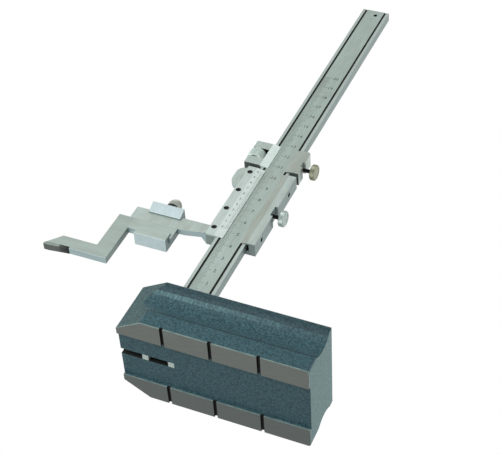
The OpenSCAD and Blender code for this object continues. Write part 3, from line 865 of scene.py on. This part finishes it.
# %% The scriber and the ground tip plate
LIMB_REACH = 37.5 * MM
TIP_LAND = 3.0 * MM
TIP_RELIEF = 1.3 * MM
shank_start = tip_low.x + LIMB_REACH
land_end = Vector((tip_low.x + TIP_LAND, 0, tip_low.z))
relief_out = Vector((TIP_RELIEF, 0, land_end.x - tip_high.x))


def on_shank(face):
    return face.center.x > shank_start


def looks_down(face):
    return looks(face, DOWN)


def looks_front(face):
    return looks(face, FRONT)


def on_braze(face):
    return face.center.x > tip_back


scriber = finished_copy("scriber_body", HARDENED, edge=0.2, cuts=[(RIGHT, shank_start)])
# Painted shade on the scriber's undersides and right sides.
dress(scriber, (STEEL_ALONG, on_shank), (UNDERSIDE_SHADE, looks_down), (SIDE_SHADE, looks_right))
tip = finished_copy("carbide_tip", CARBIDE, edge=0.1, cuts=[(RIGHT, tip_back)],
                    ground=(land_end, relief_out))
dress(tip, (LAPPED, looks_front), (BRAZE, on_braze))

# %% [markdown]
# ## Marks and figures
# Real marks are engraved and inked. They could be cut into the steel, which would take thousands of
# faces. Here each is a sliver of ink that lies in the surface and stands a hundredth of a millimetre
# proud, which prints as clearly. One mark is drawn and an array repeats it. Figures are text, turned into
# a mesh before it is placed.

# %% One mark, repeated, and one figure
INK_DEPTH = 0.1 * MM
INK_PROUD = 0.012 * MM
MARK_TAPER = 0.8
FONT_CAP = 0.69


def marks(name, x, y, length, width, count, pitch):
    """A row of marks drawn flat: each runs from a start along X, and the row goes up in Y."""
    middle = (x + length / 2, y, INK_PROUD - INK_DEPTH / 2)
    bpy.ops.mesh.primitive_cube_add(size=1, location=middle)
    piece = bpy.context.object
    piece.name = name
    piece.scale = (length, width, INK_DEPTH)
    bpy.ops.object.transform_apply(location=True, rotation=True, scale=True)
    pick(piece, "FACE", lambda face: looks(face, UP, SQUARELY))
    bpy.ops.transform.resize(value=(1, MARK_TAPER, 1))
    leave()
    apply_modifier(piece, "ARRAY", count=count, use_relative_offset=False, use_constant_offset=True,
                   constant_offset_displace=(0, pitch, 0))
    return piece


def figure(number, x, y, height):
    """A number drawn flat, its middle on the spot."""
    bpy.ops.object.text_add(location=(0, 0, 0))
    text = bpy.context.object.data
    text.body = str(number)
    text.size = height / FONT_CAP
    text.align_x = "CENTER"
    text.align_y = "CENTER"
    text.extrude = INK_DEPTH / 2
    text.resolution_u = 2
    bpy.ops.object.convert(target="MESH")
    piece = bpy.context.object
    piece.data.transform(Matrix.Translation((x, y, INK_PROUD - INK_DEPTH / 2)))
    return piece


def join_scale(name, parts, spot, turn, body):
    """Joins marks and figures, stands them up to face the reader, turns them about Z and places them."""
    make_active(parts[0])
    for part in parts:
        part.select_set(True)
    bpy.ops.object.join()
    scale = parts[0]
    scale.name = name
    use_only(scale, INK)
    upright = Matrix.Rotation(turn, 4, "Z") @ Matrix.Rotation(math.pi / 2, 4, "X")
    scale.data.transform(Matrix.Translation(spot) @ upright)
    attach(scale, body)
    print(name, len(scale.data.polygons), "faces")


# %% [markdown]
# ## The main scale
# The column is graduated in millimetres, with a longer mark at each five, the longest at each ten, and a
# number at each centimetre. The three lengths are three rows on the same line: a longer mark lies over a
# shorter one, so each row can be a plain array.

# %% The main scale of the column
SCALE_ZERO = 46.0 * MM
SCALE_LENGTH = 200
TENS = SCALE_LENGTH // 10
MARK_START = -35.6 * MM
MARK_WIDTH = 0.16 * MM
FIGURE_X = -28.4 * MM
FIGURE_HEIGHT = 2.3 * MM
ROWS = (
    ("millimetres", 0, 3.4, SCALE_LENGTH + 1, 1),
    ("fives", 5, 4.6, TENS, 10),
    ("tens", 0, 5.6, TENS + 1, 10),
)
parts = [marks(name, MARK_START, first * MM, length * MM, MARK_WIDTH, count, pitch * MM)
         for name, first, length, count, pitch in ROWS]
parts += [figure(number, FIGURE_X, 10 * number * MM, FIGURE_HEIGHT) for number in range(TENS + 1)]
join_scale("column_scale", parts, (0, column_front, SCALE_ZERO), 0, "root")

# %% [markdown]
# ## The vernier
# The vernier divides 49 mm into 50 parts, so each is a fiftieth of a millimetre short, and the mark that
# meets one of the column's gives the last digits. It lies on the plate's bevel. So its marks are drawn
# flat as before, measured back from the bevel's edge, and then turned by the slope of the bevel.

# %% The vernier on the bevel of its plate
PLATE_FLAT = 5.0 * MM
BEVEL_EDGE = 0.3 * MM
VERNIER_ZERO = 98.0 * MM
VERNIER_PITCH = 0.98 * MM
VERNIER_PARTS = 50
FIFTHS = VERNIER_PARTS // 5
FINE_WIDTH = 0.14 * MM
FINE_HEIGHT = 1.5 * MM
FINE_FIGURE_X = -3.7 * MM
plate_low, plate_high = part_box("vernier_plate")
bevel_back = plate_high.y - BEVEL_EDGE
bevel_turn = math.atan2(bevel_back - plate_low.y, plate_high.x - plate_low.x - PLATE_FLAT)
ROWS = (("parts", -2.0, 1.9, VERNIER_PARTS + 1, 1), ("fifths", -2.6, 2.5, FIFTHS + 1, 5))
parts = [marks(name, x * MM, 0, length * MM, FINE_WIDTH, count, step * VERNIER_PITCH)
         for name, x, length, count, step in ROWS]
parts += [figure(number % 10, FINE_FIGURE_X, 5 * number * VERNIER_PITCH, FINE_HEIGHT)
          for number in range(FIFTHS + 1)]
join_scale("vernier_scale", parts, (plate_high.x, bevel_back, VERNIER_ZERO), bevel_turn, "slider")

# %% [markdown]
# ## Knurled parts
# Fingers turn the fine adjustment nut and the two lock screws, so their rims are knurled. A knurl could
# be a bump in the material, but then its outline would stay smooth. Here every second upright edge of a
# cylinder is drawn in towards the axis, which gives true teeth. The caps are then extruded and scaled,
# for the chamfered rims, a dished end, or a bore right through.


# %% A knurled cylinder, drawn along Z
def is_cap(face, side):
    return side * face.normal.z > SQUARELY and len(face.vertices) > 4


def scaled_cap(piece, side, radius, target, step):
    """Extrudes the cap on one side by a step and scales it from one radius to another."""
    top = max(side * v.co.z for v in piece.data.vertices)
    pick(piece, "FACE", lambda face: is_cap(face, side))
    bpy.ops.mesh.extrude_region_move(TRANSFORM_OT_translate={"value": (0, 0, side * step)})
    share = target / radius
    bpy.ops.transform.resize(value=(share, share, 1), center_override=(0, 0, side * (top + step)))
    leave()


def knurled(name, radius, height, teeth, depth, rim):
    """A cylinder along Z, its middle at the origin, with a knurled side and chamfered rims."""
    bpy.ops.mesh.primitive_cylinder_add(vertices=2 * teeth, radius=radius, depth=height - 2 * rim)
    piece = bpy.context.object
    piece.name = name

    def inward(edge):
        a, b = (piece.data.vertices[i].co for i in edge.vertices)
        step = math.atan2(a.y, a.x) / math.pi * teeth
        return abs(a.z - b.z) > height / 2 and round(step) % 2 == 1

    pick(piece, "EDGE", inward)
    share = 1 - depth / radius
    bpy.ops.transform.resize(value=(share, share, 1), center_override=(0, 0, 0))
    leave()
    for side in (-1, 1):
        scaled_cap(piece, side, radius, radius - rim, rim)
    return piece


# %% [markdown]
# ## The fine adjustment nut
# The nut turns in the window of the carriage and its thread moves the slider by half a millimetre a turn.
# It has a bore for the rod. A boolean could drill it, but here its two caps are scaled down to the bore,
# opened, and bridged, which keeps the faces in order. Its underside lies in the window's shade.

# %% Nut with its bore
NUT_TEETH = 64
NUT_TOOTH = 0.22 * MM
NUT_RIM = 0.6 * MM
ROD_BORE = 1.3 * MM
ROUND_ANGLE = math.radians(28)
nut_radius = (nut_high.x - nut_low.x) / 2


def centre_of(node):
    low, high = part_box(node)
    return (low + high) / 2


def settle(piece, place, finish, node):
    """Puts a piece drawn at the origin into its place, in its mesh, and lets it stand for a node."""
    piece.data.transform(place)
    use_only(piece, finish)
    edit_all(piece)
    bpy.ops.mesh.normals_make_consistent(inside=False)
    leave()
    bpy.ops.object.shade_smooth_by_angle(angle=ROUND_ANGLE)
    stand_for(piece, node)


nut = knurled("fine_nut_knurled", nut_radius, nut_high.z - nut_low.z, NUT_TEETH, NUT_TOOTH, NUT_RIM)
for side in (-1, 1):
    scaled_cap(nut, side, nut_radius - NUT_RIM, ROD_BORE, 0)
pick(nut, "FACE", lambda face: is_cap(face, 1) or is_cap(face, -1))
bpy.ops.mesh.delete(type="FACE")
bpy.ops.mesh.select_mode(type="EDGE")
bpy.ops.mesh.select_non_manifold()
bpy.ops.mesh.bridge_edge_loops()
leave()
settle(nut, Matrix.Translation(centre_of("fine_nut")), KNURLED, "fine_nut")
dress(nut, (DARK_SHADE, lambda face: looks(face, DOWN, SQUARELY)))

# %% [markdown]
# ## The lock knobs
# Each lock screw ends in a small knurled knob. Its outer end is dished a little and painted brighter than
# the knurl, as painted light where it faces the light, with a round dot in the middle where the stud is
# riveted over. All this could be turned from one profile, but that would lose the teeth, so the outer cap
# is scaled inwards in four steps. The lower knob is plated like the slider, the upper one has a warmer
# tone.

# %% Two knobs on their studs
KNOB_TEETH = 40
KNOB_TOOTH = 0.2 * MM
KNOB_RIM = 0.6 * MM
DISH_OUTER = 1.3 * MM
DISH_INNER = 1.6 * MM
DISH_DEPTH = 0.35 * MM
RIVET_FOOT = 1.1 * MM
RIVET_HEAD = 0.9 * MM
RIVET_HEIGHT = 0.2 * MM
LAID = Matrix.Rotation(math.pi / 2, 4, "Y")


def lock_knob(name, node, finish, lit_end_finish):
    low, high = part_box(node)
    radius = (high.z - low.z) / 2
    knob = knurled(name, radius, high.x - low.x, KNOB_TEETH, KNOB_TOOTH, KNOB_RIM)
    reached = radius - KNOB_RIM
    dish = ((radius - DISH_OUTER, 0), (radius - DISH_INNER, -DISH_DEPTH))
    rivet = ((RIVET_FOOT, 0), (RIVET_HEAD, RIVET_HEIGHT))
    for target, step in dish + rivet:
        scaled_cap(knob, 1, reached, target, step)
        reached = target
    settle(knob, Matrix.Translation(centre_of(node)) @ LAID, finish, node)
    dress(knob, (lit_end_finish, looks_right))


lock_knob("slider_lock_knob_knurled", "slider_lock_knob", DULL, DISH_LIGHT)
lock_knob("carriage_lock_knob_knurled", "carriage_lock_knob", NICKEL, NICKEL_DISH_LIGHT)

# %% [markdown]
# ## Threads
# The rod of the fine adjustment and both lock studs are threaded. Plain rings would pass for a thread from
# afar, but a real one is a single tooth that climbs by its pitch in each turn. So a zigzag of all the teeth
# is drawn beside the axis, point by point, and a Screw modifier turns it once while it climbs by one
# pitch: each tooth then meets the next, and only the two ends stay open, to be filled.

# %% A threaded bar, drawn along Z
PITCH = 0.5 * MM
TOOTH = 0.28 * MM
TURN_STEPS = 24


def threaded_bar(name, radius, length):
    bpy.ops.mesh.primitive_plane_add(size=1, location=(0, 0, 0))
    piece = bpy.context.object
    piece.name = name
    pick(piece, "VERT", lambda point: point.index > 0)
    bpy.ops.mesh.delete(type="VERT")
    bpy.ops.mesh.select_all(action="SELECT")
    leave()
    piece.data.vertices[0].co = (radius - TOOTH, 0, 0)
    bpy.ops.object.mode_set(mode="EDIT")
    for _ in range(round(length / PITCH) - 1):
        for out in (TOOTH, -TOOTH):
            bpy.ops.mesh.extrude_region_move(TRANSFORM_OT_translate={"value": (out, 0, PITCH / 2)})
    leave()
    apply_modifier(piece, "SCREW", axis="Z", angle=2 * math.pi, screw_offset=PITCH, steps=TURN_STEPS,
                   render_steps=TURN_STEPS, use_merge_vertices=True, merge_threshold=WELD)
    edit_all(piece)
    bpy.ops.mesh.remove_doubles(threshold=WELD)
    bpy.ops.mesh.fill_holes(sides=0)
    leave()
    return piece


# %% [markdown]
# ## Rod and studs
# The rod hangs upright from the nut into the slider's ear, and shows oiled bright metal. The studs lie
# along X behind their knobs and are blackened. All three are the same bar, drawn at the length and radius
# that the CAD gives, and put in place from its lower end.

# %% The rod and two studs
rod_low, rod_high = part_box("fine_rod")
rod_middle = centre_of("fine_rod")
rod = threaded_bar("fine_rod_threaded", (rod_high.x - rod_low.x) / 2, rod_high.z - rod_low.z)
settle(rod, Matrix.Translation((rod_middle.x, rod_middle.y, rod_low.z)), THREAD, "fine_rod")
for node in ("slider_lock_stud", "carriage_lock_stud"):
    low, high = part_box(node)
    middle = centre_of(node)
    stud = threaded_bar(node + "_threaded", (high.z - low.z) / 2, high.x - low.x)
    settle(stud, Matrix.Translation((low.x, middle.y, middle.z)) @ LAID, BLACK, node)

# %% [markdown]
# ## Floor
# The gauge stands on a plain pale floor. The picture is taken from below its level, where a solid floor
# would hide everything. So it is one-sided: from above it shows and takes the gauge's shadow, from below
# it lets the view through. It has a little glow of its own to stay pale, and throws neither light nor
# shade on the gauge.

# %% A one-sided pale floor
FLOOR_DROP = 0.2 * MM
FLOOR_RADIUS = 2.5
FLOOR_GREY = 0.9
FLOOR_GLOW = 0.45
bpy.ops.mesh.primitive_circle_add(vertices=96, radius=FLOOR_RADIUS, fill_type="NGON",
                                  location=(0, 0, -FLOOR_DROP))
floor = bpy.context.object
floor.name = "floor"
floor_material = bpy.data.materials.new("pale_floor")
floor_material.use_nodes = True
nodes = floor_material.node_tree.nodes
links = floor_material.node_tree.links
nodes.remove(nodes["Principled BSDF"])
pale = nodes.new("ShaderNodeBsdfDiffuse")
pale.inputs["Color"].default_value = (FLOOR_GREY, FLOOR_GREY, FLOOR_GREY, 1)
glow = nodes.new("ShaderNodeEmission")
glow.inputs["Strength"].default_value = FLOOR_GLOW
lit = nodes.new("ShaderNodeAddShader")
clear = nodes.new("ShaderNodeBsdfTransparent")
side = nodes.new("ShaderNodeNewGeometry")
mix = nodes.new("ShaderNodeMixShader")
links.new(pale.outputs["BSDF"], lit.inputs[0])
links.new(glow.outputs["Emission"], lit.inputs[1])
links.new(side.outputs["Backfacing"], mix.inputs["Fac"])
links.new(lit.outputs["Shader"], mix.inputs[1])
links.new(clear.outputs["BSDF"], mix.inputs[2])
links.new(mix.outputs["Shader"], nodes["Material Output"].inputs["Surface"])
floor.data.materials.append(floor_material)
for kind in ("diffuse", "glossy", "transmission", "shadow"):
    setattr(floor, "visible_" + kind, False)
print("floor at", round(-FLOOR_DROP / MM, 2), "mm")

# %% [markdown]
# ## World
# A white room surrounds the gauge. If it lit the gauge as brightly as it looks, every face would wash
# out. So it is white to the camera and in reflections, and softer and a little cooler as a light.

# %% A white room that lights softly
ROOM_LIGHT = 0.5
ROOM_TINT = (0.95, 0.98, 1.0, 1)
world = bpy.data.worlds.new("white_room")
scene.world = world
world.use_nodes = True
nodes = world.node_tree.nodes
links = world.node_tree.links
soft = nodes["Background"]
soft.inputs["Color"].default_value = ROOM_TINT
soft.inputs["Strength"].default_value = ROOM_LIGHT
white = nodes.new("ShaderNodeBackground")
white.inputs["Color"].default_value = (1, 1, 1, 1)
path = nodes.new("ShaderNodeLightPath")
seen = path.outputs["Is Camera Ray"]
for ray in ("Is Glossy Ray", "Is Transmission Ray"):
    either = nodes.new("ShaderNodeMath")
    either.operation = "MAXIMUM"
    links.new(seen, either.inputs[0])
    links.new(path.outputs[ray], either.inputs[1])
    seen = either.outputs["Value"]
mix = nodes.new("ShaderNodeMixShader")
links.new(seen, mix.inputs["Fac"])
links.new(soft.outputs["Background"], mix.inputs[1])
links.new(white.outputs["Background"], mix.inputs[2])
links.new(mix.outputs["Shader"], nodes["World Output"].inputs["Surface"])
print("world: white to the camera, soft as a light")

# %% [markdown]
# ## Lamps
# Even light from all round would leave the steel flat. Four lamps shape it: the key lamp in front, low
# on the left, a low one for undersides, one on the right for the sides, and a large soft one above. Each
# is a square that looks at the middle of the gauge, and its row says from where, how far off, how wide
# and how strong.

# %% Four lamps
gauge_middle = (cad_box[0] + cad_box[1]) / 2
LAMPS = (
    ("key_lamp", (-0.3, -0.8, -0.5), 0.6, 0.3, 1.6),
    ("low_lamp", (-0.2, -0.6, -0.75), 0.5, 0.3, 0.65),
    ("side_lamp", (0.9, 0.05, 0.35), 0.9, 0.3, 4.5),
    ("top_lamp", (-0.35, 0.1, 0.95), 1.2, 0.9, 4),
)
for name, direction, distance, size, power in LAMPS:
    light = bpy.data.lights.new(name, "AREA")
    light.size = size
    light.energy = power
    lamp = bpy.data.objects.new(name, light)
    scene.collection.objects.link(lamp)
    away = Vector(direction).normalized()
    lamp.location = gauge_middle + away * distance
    lamp.rotation_euler = away.to_track_quat("Z", "Y").to_euler()
    print(name, "of", power, "W")

# %% [markdown]
# ## Camera
# The picture is taken from low in front on the right. The camera could be placed by eye, but then no edge
# would quite fit. Its place, its direction and its lens were worked out from the straight edges of foot,
# column and arm, so that these run in the picture as they do in the photograph.

# %% The camera of the photograph
EYE = Vector((207.0, -486.2, -372.9)) * MM
VIEW_AXIS = Vector((-0.3236, 0.6721, 0.6660)).normalized()
PICTURE_DOWN = Vector((0.2332, 0.7389, -0.6322))
PICTURE_WIDTH = 500
FOCAL_PIXELS = 1320.9
camera_data = bpy.data.cameras.new("camera")
camera_data.sensor_width = 36.0
camera_data.lens = FOCAL_PIXELS / PICTURE_WIDTH * camera_data.sensor_width
camera_data.clip_start = 0.05
camera = bpy.data.objects.new("camera", camera_data)
scene.collection.objects.link(camera)
picture_right = PICTURE_DOWN.cross(VIEW_AXIS).normalized()
picture_up = picture_right.cross(VIEW_AXIS).normalized()
turn = Matrix((picture_right, picture_up, -VIEW_AXIS)).transposed()
camera.matrix_world = Matrix.Translation(EYE) @ turn.to_4x4()
scene.camera = camera
print("camera lens", round(camera_data.lens, 1), "mm")

# %% [markdown]
# ## Picture settings
# The picture is shown with the standard view transform.

# %% Picture settings
scene.view_settings.view_transform = "Standard"
